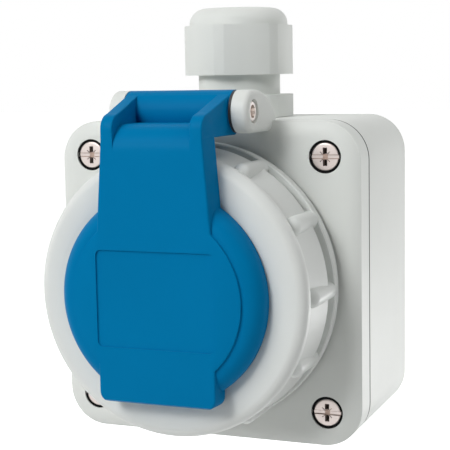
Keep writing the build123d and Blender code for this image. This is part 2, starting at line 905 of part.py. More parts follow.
def make_gland_nut():
    nut = level(gland_hex(), nut_bottom, nut_top)
    dome = Pos(0, nut_bottom) * Rectangle(
        gland_dome_radius, gland_nut_height + gland_dome_height, align=(Align.MIN, Align.MIN)
    )
    dome = fillet(dome.vertices().sort_by_distance((gland_dome_radius, gland_top))[0], gland_dome_round)
    nut += upright_turned(dome)
    thread_top = nut_bottom + gland_thread_height
    claw_top = thread_top + gland_claw_height
    seat_radius = gland_claw_radius + gland_nut_gap
    bore = Polygon(
        (0, nut_bottom),
        (gland_neck_radius + gland_nut_gap, nut_bottom),
        (gland_neck_radius + gland_nut_gap, thread_top + gland_nut_gap),
        (seat_radius + gland_claw_taper, thread_top + gland_nut_gap),
        (seat_radius, claw_top + gland_nut_gap),
        (gland_mouth_radius, claw_top + gland_nut_gap),
        (gland_mouth_radius, gland_top - gland_mouth_chamfer),
        (gland_mouth_radius + gland_mouth_chamfer, gland_top),
        (0, gland_top),
        align=None,
    )
    return nut - upright_turned(bore)


def make_gland_locknut():
    hexagon = RegularPolygon(locknut_flats / 2, 6, major_radius=False, rotation=30)
    top = box_top - wall
    return level(hexagon - Circle(gland_thread_radius + thread_gap), top - locknut_height, top)


pieces = {
    "back_box": make_back_box(),
    "front_cover": make_front_cover(),
    "cover_gasket": make_cover_gasket(),
    "cover_screws": make_cover_screws(),
    "cover_screw_seals": make_cover_screw_seals(),
    "hinge_pin": make_hinge_pin(),
    "lid": make_lid(),
    "lid_retainer": make_lid_retainer(),
    "lid_retainer_screws": make_lid_retainer_screws(),
    "lid_gasket": make_lid_gasket(),
    "bayonet_ring": make_bayonet_ring(),
    "socket_insert": make_socket_insert(),
    "insert_gasket": make_insert_gasket(),
    "insert_screws": make_insert_screws(),
    "line_contact": pin_contact(1),
    "neutral_contact": pin_contact(-1),
    "earth_contact": make_earth_contact(),
    "contact_carrier": make_contact_carrier(),
    "terminal_screws": make_terminal_screws(),
    "carrier_screws": make_carrier_screws(),
    "gland_washer": make_gland_washer(),
    "gland_body": make_gland_body(),
    "gland_seal": make_gland_seal(),
    "gland_nut": make_gland_nut(),
    "gland_locknut": make_gland_locknut(),
}

os.makedirs("parts", exist_ok=True)
for node, solid in pieces.items():
    export_step(solid, f"parts/{node}.step")
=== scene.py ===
import json
import math

import bmesh
import bpy
from mathutils import Matrix, Vector


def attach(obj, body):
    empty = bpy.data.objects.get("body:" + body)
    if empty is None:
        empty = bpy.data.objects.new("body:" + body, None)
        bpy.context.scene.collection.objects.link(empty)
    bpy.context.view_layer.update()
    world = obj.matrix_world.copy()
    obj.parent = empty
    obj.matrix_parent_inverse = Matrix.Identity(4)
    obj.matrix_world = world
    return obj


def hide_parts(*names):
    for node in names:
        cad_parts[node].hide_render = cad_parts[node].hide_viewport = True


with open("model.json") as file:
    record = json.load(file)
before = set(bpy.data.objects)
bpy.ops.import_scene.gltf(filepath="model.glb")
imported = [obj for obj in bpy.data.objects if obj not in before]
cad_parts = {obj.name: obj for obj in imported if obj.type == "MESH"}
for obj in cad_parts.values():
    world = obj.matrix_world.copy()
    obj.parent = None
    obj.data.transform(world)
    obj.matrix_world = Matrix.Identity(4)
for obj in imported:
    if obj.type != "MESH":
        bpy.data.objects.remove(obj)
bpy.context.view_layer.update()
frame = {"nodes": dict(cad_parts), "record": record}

# The looks of a surface mount socket outlet. Sizes are in millimetres until a mesh is made.
# Depths are distances forward of the wall, so a depth d lies at y = -d, as in the solids.
# Round forms are given by their radius, and a name that ends in DEEP is a depth below a surface.

MM = 0.001
PAST = 1.0  # how far a cutter reaches past what it cuts, and a joined form into its neighbour
TURN_STEPS = 192
FINE_STEPS = 96
SMALL_STEPS = 64
HOLE_STEPS = 48
GRIP_STEPS = 24
RING_STEPS = 240

# Distances below which two corners of a mesh are one, in metres
MERGE = 2e-6
TURN_MERGE = 1e-8

# Enclosure
WIDTH = 89.2
DEPTH = 50.6
SEAM = 41.2
BOX_TOP = WIDTH / 2
CORNER = 11.0
WALL = 2.8
PLATE_WALL = 3.0
COVER_ROUND = 8.0
COVER_RUN = 4.5
BOX_ROUND = 0.8
BOSS_DROP = 0.2
WALL_HOLE = 2.6
WALL_HOLE_X = 22
WALL_HOLE_Z = 30

# Seam, with a black strip in it that paints the groove's shade where the gasket's edge lies
SEAM_GAP = 0.36
SEAM_INSET = 0.6
SEAM_EDGE = 0.05
SHADE_STRIP_INSET = 0.02
SHADE_STRIP_PLAY = 0.01

# Cover screws and their seals
SCREW_OFFSET = 35.0
SCREW_BOSS = 7.0
SCREW_TOP = DEPTH - 0.15
SCREW_NECK = SCREW_TOP - 2.7
SCREW_TIP = SEAM - 12
SCREW_HEAD = 3.8
HEAD_EDGE = 0.45
SHANK = 2.0
SHANK_POINT = 0.8
SHANK_HOLE = 2.3
POCKET_FLOOR = DEPTH - 3.85
SEAL = 4.5
SEAL_BORE = 2.15
SEAL_LIP = DEPTH - 0.25
SEAL_EDGE = 0.15
SEAL_FLOOR = 1.0
NOTCH_LENGTH = 12
NOTCH_DEEP = 1.5

# Screw drive: a shallow slot with grooved edges, two deep uprights, a middle and fine marks
SLOT_LENGTH = 10
SLOT_WIDTH = 1.2
SLOT_DEEP = 0.45
SLOT_EDGE = 0.2
SLOT_EDGE_PLACE = 0.5
SLOT_EDGE_DEEP = 0.65
UPRIGHT_WIDTH = 1.2
UPRIGHT_HEIGHT = 1.7
UPRIGHT_PLACE = 1.6
UPRIGHT_DEEP = 1.9
MIDDLE_WIDTH = 1.4
MIDDLE_HEIGHT = 1.5
MIDDLE_ROUND = 0.4
MIDDLE_DEEP = 0.55
MARK_LENGTH = 3.8
MARK_WIDTH = 0.22
MARK_DEEP = 0.6
# Depths below which the drive's faces get painted shade: first a darker metal, then a near-black one
PAINTED_SHADE_DEEP = 0.5
PAINTED_DARK_DEEP = 0.66
DRIVE_MARGIN = 1.0

# Collar and bayonet studs
COLLAR = 28.5
COLLAR_BORE = 26.0
COLLAR_EDGE = 0.6
COLLAR_ROOT = 34
ROOT_BACK = DEPTH - 6
ROOT_FRONT = DEPTH - 1.5
BORE_BACK = DEPTH - 8
RIM = DEPTH + 18.7
STUD_ROOT = 27.5
STUD_TOP = 31.2
STUD_BACK = DEPTH + 9
STUD_FRONT = DEPTH + 13
STUD_BACK_EDGE = 0.2
STUD_FRONT_EDGE = 0.6
STUD_ANGLE = -15
LOCK_HALF_ANGLE = 7

# Hinge
HINGE_DEPTH = DEPTH + 12.7
HINGE_HEIGHT = BOX_TOP + 3.0
BARREL = 5.7
BARREL_HALF = 15.0
LUG_IN = 15.55
LUG_OUT = 19.9
LUG_ROUND = 1.4
LUG_ROOT = BOX_TOP - 2
LUG_FOOT = (DEPTH - 5.2, BOX_TOP + 0.9)
LUG_CREST = (DEPTH + 2.6, BOX_TOP + 7.1)
LUG_TANGENT = BARREL / 5
PIN = 2.35
PIN_FIT = 0.02
PIN_HEAD = 2.7
PIN_EDGE = 0.3
PIN_END = LUG_OUT - 0.4
PIN_RECESS = 3.25
RECESS_FLOOR = LUG_OUT - 1.6
HOLLOW_RIM = 1.75
HOLLOW_FLOOR = 1.4
HOLLOW_DEEP = 1.0
HOLLOW_MARGIN = 0.1
END_MARGIN = 0.01

# Lid
LID_FRONT = DEPTH + 33.8
LID_BACK = DEPTH + 25.9
LID_RADIUS = 28.5
LID_BORE = 26.8
LID_WALL = 2.6
LID_PLAY = 0.3
LID_EDGE = 0.3
LID_EDGE_BOW = 0.09
LID_PIN_FIT = 0.05
FACE_RADIUS = 23.7
FACE_STEP = 0.8
RIM_DROP = 5.6
HUB_IN = 21.6
HUB_OUT = 24.0
HUB_BACK = LID_BACK - 3.1
LABEL_WIDTH = 33
LABEL_HEIGHT = 25.5
LABEL_RISE = 0.1
LABEL_ROUND = 1.5
LABEL_EDGE = 0.15
LABEL_DEEP = 0.5

# The lid's strap, with the lifting tab at its foot
STRAP_BACK = LID_FRONT - 7.4
STRAP_LOW_HALF = 16.35
STRAP_MIDDLE_HALF = 15.9
STRAP_TOP_HALF = 14.1
STRAP_MIDDLE = 18
STRAP_TOP = 41.5
STRAP_WALL = 2.4
STRAP_EDGE = 0.5
STRAP_DRAFT = math.tan(math.radians(3))
TAB_HEIGHT = 27.3
TAB_THICK = 6
TAB_ROUND = 2.5
BEVEL_PAST = 0.2
BEVEL_RISE = 0.67
BEVEL_RUN = 1.15
BEVEL_DROP = 0.15

# The lid's arm: two ribs, a ledge with a round nose between them, and the hinge barrel
LEDGE = HINGE_HEIGHT - 2.6
NOSE = 7.0
NOSE_FOOT = LEDGE - NOSE
RIB = 3.4
RIB_EDGE = 0.4
RIB_FOOT = NOSE_FOOT - 3.5
ARM_INNER = BARREL_HALF - RIB
ARM_UNDER = HINGE_HEIGHT - 6.1
ARM_FLARE = 0.9
SHOULDER = HINGE_HEIGHT + 0.4
SHOULDER_DROP = 1.2
SHOULDER_RUN = 4.8
SHOULDER_BEND = 3.0
SHOULDER_ROUND = 4.0
WEDGE_HEIGHT = 20
# A thin black disc in the hinge's right gap, painted shade for that gap
SHADE_DISC = BARREL - 0.15
SHADE_DISC_BORE = PIN + 0.1
SHADE_DISC_IN = BARREL_HALF - LID_PLAY + 0.02
SHADE_DISC_OUT = LUG_IN - 0.25

# Bayonet ring
RING_FACE = DEPTH + 26.2
RING_FACE_INNER = 29.5
RING_SEAT = DEPTH + 25.6
RING_SEAT_RADIUS = 28.0
RING_BORE = 24.3
RING_WALL_BACK = DEPTH + 23.1
RING_INNER = 33.6
RING_INNER_BEVEL = 1.0
RING_BACK = DEPTH + 1.9
RING_EDGE = 0.3
RIDGE_RADIUS = 35.1
RIDGE_ROUND = 3.0
RIDGE_DEPTH = DEPTH + 23.2
BAND_FRONT = 36.5
BAND_BACK = 38.5
BAND_END = DEPTH + 8.8
BAND_EDGE = 0.2
GROOVE = 36.4
FLANGE = 39.2
FLANGE_FRONT = DEPTH + 5.2
GRIP_COUNT = 12
GRIP = 39.4
GRIP_HALF = 2.5
GRIP_TIP = DEPTH + 20.8
GRIP_ROOT = FLANGE_FRONT - 0.5
LOCK_IN = 29.3
LOCK_OUT = 34.4
LOCK_BACK = DEPTH + 5.6
LOCK_FRONT = DEPTH + 8.6
LOCK_EDGE = 0.4
LOCK_ANGLE = 15

# Cable gland
GLAND_DEPTH = 22.2
GLAND_HOLE = 12.6
GLAND_BORE = 8.6
GLAND_END = BOX_TOP - 10.5
GLAND_SHANK = 12.45
HEX_HALF = 14.5
HEX_CORNER = 15.9
HEX_BOTTOM = BOX_TOP + 0.1
WASHER = 13.9
WASHER_BORE = 12.5
WASHER_FIT = 0.05
WASHER_TOP = BOX_TOP + 1.3
NECK = 12.0
NECK_BOTTOM = BOX_TOP + 6.6
NUT_BOTTOM = NECK_BOTTOM + 5.8
NUT_TOP = NUT_BOTTOM + 14.3
NUT_FIT = 0.1
NECK_TOP = NUT_BOTTOM + 7
CLAW_ROOT = 11.0
CLAW_TIP = 10.6
CLAW_TOP = NUT_BOTTOM + 13
GLAND_TOP = NUT_TOP + 5.0
DOME = 14.4
DOME_ROUND = 4.6
MOUTH = 8.4
MOUTH_CHAMFER = 0.8
MOUTH_PAST = 0.4

# Patterns in the materials: scales in repeats a metre, and heights in metres
DRIFT_SCALE = 45
GLOSS_SCALE = 260
GLOSS_SPREAD = 0.04
GRAIN_SCALE = 9000
GRAIN_HEIGHT = 0.00002
RUBBER_GRAIN_SCALE = 4000
METAL_GLOSS_SCALE = 1500
METAL_GLOSS_BELOW = 0.06
METAL_GLOSS_ABOVE = 0.1
METAL_MARK_SCALE = 6000
METAL_MARKS = 0.15
METAL_MARK_HEIGHT = 0.00001

# Camera, in millimetres and degrees
CAMERA_LENS = 100.4
CAMERA_SENSOR = 36
CAMERA_PLACE = (134.898, -319.772 - DEPTH, 58.052)
CAMERA_YAW = 21.953
CAMERA_PITCH = 6.975
CAMERA_ROLL = 1.053

# Studio, in metres
CAMERA_NEAR = 0.01
LAMP_DISTANCE = 1.5
LAMP_TARGET = (0, -0.05, 0)
GLAND_TARGET = (0, -0.022, 0.08)
SIDE_TARGET = (0.044, -0.025, -0.03)
FLOOR_HEIGHT = -0.16
FLOOR_SIZE = 6
FLOOR_GREY = (0.8, 0.8, 0.8, 1)
FLOOR_ROUGHNESS = 0.8
WHITE = (1, 1, 1, 1)
WORLD_LIGHT = 0.01


# Outlines


def quarter_turns(steps):
    return [math.pi / 2 * step / steps for step in range(steps + 1)]


def rounded(points, radii, steps=6):
    """A closed outline with each corner replaced by an arc of its own radius."""
    out = []
    count = len(points)
    for i, corner in enumerate(points):
        radius = radii[i] if isinstance(radii, (list, tuple)) else radii
        here = Vector(corner)
        before = Vector(points[i - 1]) - here
        after = Vector(points[(i + 1) % count]) - here
        if radius <= 0:
            out.append(tuple(here))
            continue
        before.normalize()
        after.normalize()
        angle = before.angle(after)
        cut = radius / math.tan(angle / 2)
        centre = here + (before + after).normalized() * (radius / math.sin(angle / 2))
        start = here + before * cut - centre
        end = here + after * cut - centre
        turn = math.atan2(start.x * end.y - start.y * end.x, start.dot(end))
        for step in range(steps + 1):
            a = turn * step / steps
            x = start.x * math.cos(a) - start.y * math.sin(a)
            y = start.x * math.sin(a) + start.y * math.cos(a)
            out.append((centre.x + x, centre.y + y))
    return out


def arc(cx, cy, radius, start, end, steps):
    """Points on an arc, angles in degrees."""
    angles = [math.radians(start + (end - start) * i / steps) for i in range(steps + 1)]
    return [(cx + radius * math.cos(a), cy + radius * math.sin(a)) for a in angles]


def circle(x, y, radius, steps):
    return arc(x, y, radius, 0, 360 - 360 / steps, steps - 1)


def arc_through(first, middle, last, steps):
    """Points on the arc through three points, without its two ends."""
    (x1, y1), (x2, y2), (x3, y3) = first, middle, last
    d = 2 * (x1 * (y2 - y3) + x2 * (y3 - y1) + x3 * (y1 - y2))
    s1, s2, s3 = x1 * x1 + y1 * y1, x2 * x2 + y2 * y2, x3 * x3 + y3 * y3
    cx = (s1 * (y2 - y3) + s2 * (y3 - y1) + s3 * (y1 - y2)) / d
    cy = (s1 * (x3 - x2) + s2 * (x1 - x3) + s3 * (x2 - x1)) / d
    radius = math.hypot(x1 - cx, y1 - cy)
    start = math.degrees(math.atan2(y1 - cy, x1 - cx))
    end = math.degrees(math.atan2(y3 - cy, x3 - cx))
    return arc(cx, cy, radius, start, end, steps)[1:-1]


def rectangle(width, height, x=0.0, y=0.0):
    left, right = x - width / 2, x + width / 2
    low, high = y - height / 2, y + height / 2
    return [(left, low), (right, low), (right, high), (left, high)]


def turned(points, degrees):
    """The same outline, turned about its origin."""
    c, s = math.cos(math.radians(degrees)), math.sin(math.radians(degrees))
    return [(x * c - y * s, x * s + y * c) for x, y in points]


def square_outline(inset):
    side = WIDTH - 2 * inset
    return rounded(rectangle(side, side), CORNER - inset, 16)


def is_anticlockwise(points):
    area = sum(points[i - 1][0] * p[1] - p[0] * points[i - 1][1] for i, p in enumerate(points))
    return area > 0


def inset_outline(points, amount):
    """Moves each point of a closed outline inwards along its corner's bisector."""
    nothing = 1e-9
    sharpest = 0.2
    if abs(amount) < nothing:
        return list(points)
    sign = 1 if is_anticlockwise(points) else -1
    out = []
    for i, p in enumerate(points):
        here = Vector(p)
        before = (here - Vector(points[i - 1])).normalized()
        after = (Vector(points[(i + 1) % len(points)]) - here).normalized()
        normal_a = Vector((-before.y, before.x)) * sign
        normal_b = Vector((-after.y, after.x)) * sign
        scale = amount / max(sharpest, 1 + normal_a.dot(normal_b))
        out.append(tuple(here + (normal_a + normal_b) * scale))
    return out


# Places: from an outline's two coordinates and a level to a point in metres


def front_place(x, z, depth):
    return Vector((x, -depth, z)) * MM


def side_place(depth, height, x):
    return Vector((x, -depth, height)) * MM


def plan_place(x, y, height):
    return Vector((x, y - GLAND_DEPTH, height)) * MM


# Meshes


def make_object(name, bm):
    mesh = bpy.data.meshes.new(name)
    bmesh.ops.recalc_face_normals(bm, faces=bm.faces)
    bm.to_mesh(mesh)
    bm.free()
    obj = bpy.data.objects.new(name, mesh)
    bpy.context.scene.collection.objects.link(obj)
    return obj


def close_loops(bm, loops):
    """Joins a row of corner loops into one closed skin with flat ends."""
    for lower, upper in zip(loops, loops[1:]):
        for i in range(len(lower)):
            bm.faces.new((lower[i - 1], lower[i], upper[i], upper[i - 1]))
    bm.faces.new(loops[0])
    bm.faces.new(loops[-1])


def loft(name, outline, rings, place=front_place):
    """A closed solid through copies of one outline, each with its own inset and level."""
    bm = bmesh.new()
    loops = []
    for inset, level in rings:
        points = inset_outline(outline, inset)
        loops.append([bm.verts.new(place(p[0], p[1], level)) for p in points])
    close_loops(bm, loops)
    return make_object(name, bm)


def rim_rings(level, radius, inwards, steps):
    """Insets and levels of one rounded rim of a slab, from its flat end on. inwards is 1 or -1."""
    if radius <= 0:
        return [(0.0, level)]
    turns = quarter_turns(steps)
    return [(radius * (1 - math.sin(a)), level + inwards * radius * (1 - math.cos(a))) for a in turns]


def slab(name, outline, low, high, place=front_place, round_low=0.0, round_high=0.0, steps=4, draft=0.0):
    """An extruded outline whose two rims can be rounded. draft widens it towards the low end."""
    rings = rim_rings(low, round_low, 1, steps) + rim_rings(high, round_high, -1, steps)[::-1]
    rings = [(inset - draft * (high - level), level) for inset, level in rings]
    return loft(name, outline, rings, place)


def cylinder(name, radius, low, high, x=0.0, y=0.0, place=front_place, steps=HOLE_STEPS):
    return slab(name, circle(x, y, radius, steps), low, high, place)


def on_side(side, inner, outer):
    """The low and high x of a span on one side of the middle. side is 1 or -1."""
    return sorted((side * inner, side * outer))


def hinge_cylinder(name, radius, low, high, steps=HOLE_STEPS):
    """A cylinder about the hinge's axis, from one x to another."""
    return cylinder(name, radius, low, high, HINGE_DEPTH, HINGE_HEIGHT, side_place, steps)


def lathe(name, outline, place=front_place, steps=TURN_STEPS):
    """Turns a closed (radius, along) outline about the axis that place stands on."""
    on_axis = 1e-6
    bm = bmesh.new()
    loops = []
    for step in range(steps):
        a = 2 * math.pi * step / steps
        points = [place(radius * math.cos(a), radius * math.sin(a), along) for radius, along in outline]
        loops.append([bm.verts.new(point) for point in points])
    for k in range(steps):
        one, two = loops[k - 1], loops[k]
        for i in range(len(outline)):
            if outline[i - 1][0] < on_axis and outline[i][0] < on_axis:
                continue
            bm.faces.new((one[i - 1], one[i], two[i], two[i - 1]))
    bmesh.ops.remove_doubles(bm, verts=bm.verts, dist=TURN_MERGE)
    bmesh.ops.dissolve_degenerate(bm, edges=bm.edges, dist=TURN_MERGE)
    return make_object(name, bm)


def combine(target, others, operation="UNION"):
    """Joins or cuts solids, and removes the tools."""
    for other in others:
        modifier = target.modifiers.new("join", "BOOLEAN")
        modifier.operation = operation
        modifier.object = other
        modifier.solver = "EXACT"
        apply_modifiers(target)
        bpy.data.objects.remove(other, do_unlink=True)
    return target


def cut(target, tools):
    return combine(target, tools, "DIFFERENCE")


def apply_modifiers(obj):
    depsgraph = bpy.context.evaluated_depsgraph_get()
    mesh = bpy.data.meshes.new_from_object(obj.evaluated_get(depsgraph))
    obj.modifiers.clear()
    obj.data = mesh


def smooth(obj, angle):
    """Shades the piece smoothly, with sharp edges where its faces meet at more than the angle."""
    obj.data.shade_smooth()
    obj.data.set_sharp_from_angle(angle=math.radians(angle))


def clean(obj):
    bm = bmesh.new()
    bm.from_mesh(obj.data)
    bmesh.ops.remove_doubles(bm, verts=bm.verts, dist=MERGE)
    bmesh.ops.dissolve_degenerate(bm, edges=bm.edges, dist=MERGE)
    bm.to_mesh(obj.data)
    bm.free()


def finish_piece(obj, body, slot, node=None, angle=30):
    """Dresses a piece, ties it to its body and hides the solid that it replaces, if there is one."""
    clean(obj)
    smooth(obj, angle)
    obj.data.materials.clear()
    obj.data.materials.append(MATERIALS[slot])
    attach(obj, body)
    if node:
        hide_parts(node)


# Materials


def noise(tree, scale, detail, coordinates):
    node = tree.nodes.new("ShaderNodeTexNoise")
    node.inputs["Scale"].default_value = scale
    node.inputs["Detail"].default_value = detail
    tree.links.new(coordinates, node.inputs["Vector"])
    return node.outputs["Fac"]


def srgb(red, green, blue):
    def channel(c):
        c /= 255
        return c / 12.92 if c <= 0.04045 else ((c + 0.055) / 1.055) ** 2.4

    return (channel(red), channel(green), channel(blue), 1)


def base_material(name, colour, roughness, metallic=0.0):
    material = bpy.data.materials.new(name)
    material.use_nodes = True
    shader = material.node_tree.nodes["Principled BSDF"]
    shader.inputs["Base Color"].default_value = colour
    shader.inputs["Roughness"].default_value = roughness
    shader.inputs["Metallic"].default_value = metallic
    return material, material.node_tree, shader


def uneven_gloss(tree, shader, pattern, low, high):
    spread = tree.nodes.new("ShaderNodeMapRange")
    spread.inputs["To Min"].default_value = low
    spread.inputs["To Max"].default_value = high
    tree.links.new(pattern, spread.inputs["Value"])
    tree.links.new(spread.outputs["Result"], shader.inputs["Roughness"])


def fine_bump(tree, shader, pattern, strength, distance):
    bump = tree.nodes.new("ShaderNodeBump")
    bump.inputs["Strength"].default_value = strength
    bump.inputs["Distance"].default_value = distance
    tree.links.new(pattern, bump.inputs["Height"])
    tree.links.new(bump.outputs["Normal"], shader.inputs["Normal"])


def colour_drift(tree, shader, pattern, colour, amount):
    mix = tree.nodes.new("ShaderNodeMix")
    mix.data_type = "RGBA"
    mix.inputs["A"].default_value = tuple(c * (1 - amount) for c in colour[:3]) + (1,)
    mix.inputs["B"].default_value = tuple(min(1, c * (1 + amount)) for c in colour[:3]) + (1,)
    tree.links.new(pattern, mix.inputs["Factor"])
    tree.links.new(mix.outputs["Result"], shader.inputs["Base Color"])


def plastic(name, colour, roughness, grain, mottling=0.03, grain_scale=GRAIN_SCALE, specular=0.5):
    """Moulded plastic: slow colour drift, uneven gloss and the fine grain of an eroded mould."""
    material, tree, shader = base_material(name, colour, roughness)
    shader.inputs["Specular IOR Level"].default_value = specular
    place = tree.nodes.new("ShaderNodeTexCoord").outputs["Object"]
    colour_drift(tree, shader, noise(tree, DRIFT_SCALE, 3, place), colour, mottling)
    low, high = roughness - GLOSS_SPREAD, roughness + GLOSS_SPREAD
    uneven_gloss(tree, shader, noise(tree, GLOSS_SCALE, 2, place), low, high)
    fine_bump(tree, shader, noise(tree, grain_scale, 2, place), grain, GRAIN_HEIGHT)
    return material


def metal(name, colour, roughness, metallic=1.0):
    """Plated metal with fine random marks and slightly uneven gloss."""
    material, tree, shader = base_material(name, colour, roughness, metallic)
    place = tree.nodes.new("ShaderNodeTexCoord").outputs["Object"]
    low, high = roughness - METAL_GLOSS_BELOW, roughness + METAL_GLOSS_ABOVE
    uneven_gloss(tree, shader, noise(tree, METAL_GLOSS_SCALE, 3, place), low, high)
    fine_bump(tree, shader, noise(tree, METAL_MARK_SCALE, 3, place), METAL_MARKS, METAL_MARK_HEIGHT)
    return material


def rubber(name, colour, specular=0.3):
    return plastic(name, colour, 0.75, 0.5, 0.08, RUBBER_GRAIN_SCALE, specular)


MATERIALS = {
    "housing_plastic": plastic("housing grey", srgb(222, 225, 221), 0.46, 0.25, specular=0.3),
    "ring_plastic": plastic("ring grey", srgb(222, 225, 222), 0.42, 0.2, specular=0.3),
    "gland_plastic": plastic("gland grey", srgb(224, 227, 223), 0.48, 0.2, specular=0.3),
    "lid_plastic": plastic("lid blue", srgb(0, 117, 170), 0.4, 0.35, specular=0.02),
    "insert_plastic": plastic("insert blue", srgb(0, 108, 158), 0.42, 0.25, specular=0.1),
    "carrier_plastic": plastic("carrier black", srgb(38, 38, 40), 0.5, 0.3),
    "black_rubber": rubber("black rubber", srgb(12, 12, 12), 0.1),
    "grey_rubber": rubber("grey rubber", srgb(70, 72, 73)),
    "screw_steel": metal("plated screw", srgb(200, 189, 184), 0.34, metallic=0.6),
    "pin_steel": metal("pin steel", srgb(240, 232, 228), 0.3, metallic=0.7),
    "contact_brass": metal("contact brass", srgb(214, 180, 110), 0.28),
    "earth_brass": metal("earth strip", srgb(206, 204, 200), 0.3),
}


# Enclosure


def screw_places():
    return [(x, z) for x in (-SCREW_OFFSET, SCREW_OFFSET) for z in (-SCREW_OFFSET, SCREW_OFFSET)]


def at_screws(name, low, high, radius):
    """A cylinder at each of the four cover screws."""
    return [cylinder(f"{name}{i}", radius, low, high, x, z) for i, (x, z) in enumerate(screw_places())]


def seam_lip(side):
    """The step in each half's outer edge that leaves a fine dark line where the halves meet."""
    lip = SEAM + side * SEAM_GAP
    return [(SEAM_INSET, SEAM), (SEAM_INSET, lip), (SEAM_EDGE, lip), (0.0, lip + side * SEAM_EDGE)]


def wall_holes():
    places = [(x, z) for x in (-WALL_HOLE_X, WALL_HOLE_X) for z in (-WALL_HOLE_Z, WALL_HOLE_Z)]
    return [cylinder(f"fixing{x}{z}", WALL_HOLE, -PAST, WALL + PAST, x, z) for x, z in places]


def make_box():
    rings = [(BOX_ROUND * (1 - math.sin(a)), BOX_ROUND * (1 - math.cos(a))) for a in quarter_turns(5)]
    rings += seam_lip(-1)[::-1]
    box = loft("box", square_outline(0), rings)
    hollow = slab("hollow", square_outline(WALL), WALL, SEAM + PAST)
    cut(hollow, at_screws("boss", WALL - PAST, SEAM - BOSS_DROP, SCREW_BOSS))
    low = BOX_TOP - WALL - PAST
    gland_hole = cylinder("gland hole", GLAND_HOLE, low, BOX_TOP + PAST, place=plan_place, steps=FINE_STEPS)
    cut(box, [hollow] + wall_holes() + [gland_hole])
    finish_piece(box, "housing", "housing_plastic", "back_box")


def make_seam_shade_strip():
    """A black strip almost flush in the fine groove between the two halves, where the gasket's outer edge
    lies: painted shade that darkens the groove.
    """
    rings = [(SHADE_STRIP_INSET, SEAM - SEAM_GAP + SHADE_STRIP_PLAY), (SHADE_STRIP_INSET, SEAM + SEAM_GAP - SHADE_STRIP_PLAY)]
    lip = loft("seam_shade_strip", square_outline(0), rings)
    cut(lip, [slab("inner", square_outline(SEAM_INSET), SEAM - PAST, SEAM + PAST)])
    # Black rubber here is painted shade: the strip darkens the seam's groove.
    finish_piece(lip, "housing", "black_rubber")


def cover_shell():
    """The cover's outside is an arc that ends on the side before it turns fully."""
    sweep = math.asin(COVER_RUN / COVER_ROUND)
    rings = seam_lip(1)
    for step in range(12, -1, -1):
        a = sweep * step / 12
        rings.append((COVER_RUN - COVER_ROUND * math.sin(a), DEPTH - COVER_ROUND * (1 - math.cos(a))))
    shell = loft("cover", square_outline(0), rings)
    hollow = slab("hollow", square_outline(WALL), SEAM - PAST, DEPTH - PLATE_WALL)
    cut(hollow, at_screws("boss", SEAM - 2 * PAST, DEPTH, SCREW_BOSS))
    return cut(shell, [hollow])


def make_collar():
    """The collar on a broad root inside the plate. Its bore is cut later."""
    inner = COLLAR_BORE - PAST
    points = [(inner, ROOT_BACK), (COLLAR_ROOT, ROOT_BACK), (COLLAR_ROOT, ROOT_FRONT)]
    points += [(COLLAR, ROOT_FRONT), (COLLAR, RIM), (inner, RIM)]
    return lathe("collar", rounded(points, [0, 0, 0, 0, COLLAR_EDGE, 0]))


def make_lug(side):
    """One hinge lug: a web that rises from the cover to a round nose about the pin."""
    tangent = (HINGE_DEPTH - LUG_TANGENT, HINGE_HEIGHT + math.sqrt(BARREL**2 - LUG_TANGENT**2))
    nose_start = math.degrees(math.acos(-LUG_TANGENT / BARREL))
    outline = [(LUG_FOOT[0], LUG_ROOT), LUG_FOOT]
    outline += arc_through(LUG_FOOT, LUG_CREST, tangent, 16)
    outline += arc(HINGE_DEPTH, HINGE_HEIGHT, BARREL, nose_start, -90, 28)
    outline.append((DEPTH - PLATE_WALL, HINGE_HEIGHT - BARREL))
    low, high = on_side(side, LUG_IN, LUG_OUT)
    rounds = {"round_low": LUG_ROUND} if side < 0 else {"round_high": LUG_ROUND}
    return slab(f"lug{side}", outline, low, high, side_place, steps=6, **rounds)


def bayonet_block(name, angle, inner, outer, back, front, round_low, round_high):
    """A short block between two radii, for the collar's studs and the ring's lugs."""
    start, end = angle - LOCK_HALF_ANGLE, angle + LOCK_HALF_ANGLE
    outline = arc(0, 0, inner, start, end, 6) + arc(0, 0, outer, end, start, 8)
    return slab(name, outline, back, front, round_low=round_low, round_high=round_high)


def make_studs():
    studs = []
    for angle in (STUD_ANGLE, STUD_ANGLE + 180):
        edges = (STUD_BACK_EDGE, STUD_FRONT_EDGE)
        studs.append(bayonet_block("stud", angle, STUD_ROOT, STUD_TOP, STUD_BACK, STUD_FRONT, *edges))
    return studs


def cover_cutters():
    """The collar's bore, the four screw pockets with their shank holes, and the pin's hole and recesses."""
    cutters = [cylinder("bore", COLLAR_BORE, BORE_BACK, RIM + PAST, steps=TURN_STEPS)]
    cutters += at_screws("pocket", POCKET_FLOOR, DEPTH + PAST, SEAL)
    cutters += at_screws("shank", SEAM - PAST, DEPTH, SHANK_HOLE)
    cutters.append(hinge_cylinder("pin hole", PIN + PIN_FIT, -LUG_OUT - PAST, LUG_OUT + PAST))
    for side in (-1, 1):
        low, high = on_side(side, RECESS_FLOOR, LUG_OUT + PAST)
        cutters.append(hinge_cylinder("recess", PIN_RECESS, low, high))
    return cutters


def make_cover():
    cover = combine(cover_shell(), [make_collar(), make_lug(-1), make_lug(1)] + make_studs())
    cut(cover, cover_cutters())
    finish_piece(cover, "housing", "housing_plastic", "front_cover")


# Cover screws and their seals


def four_copies(obj):
    """Copies one screw or seal from the socket axis to the four corners, as one piece."""
    bm = bmesh.new()
    for x, z in screw_places():
        before = len(bm.verts)
        bm.from_mesh(obj.data)
        bm.verts.ensure_lookup_table()
        for vertex in bm.verts[before:]:
            vertex.co += Vector((x, 0, z)) * MM
    bm.to_mesh(obj.data)
    bm.free()
    return obj


def drive_cutter(name, outline, deep):
    return slab(name, outline, SCREW_TOP - deep, SCREW_TOP + PAST)


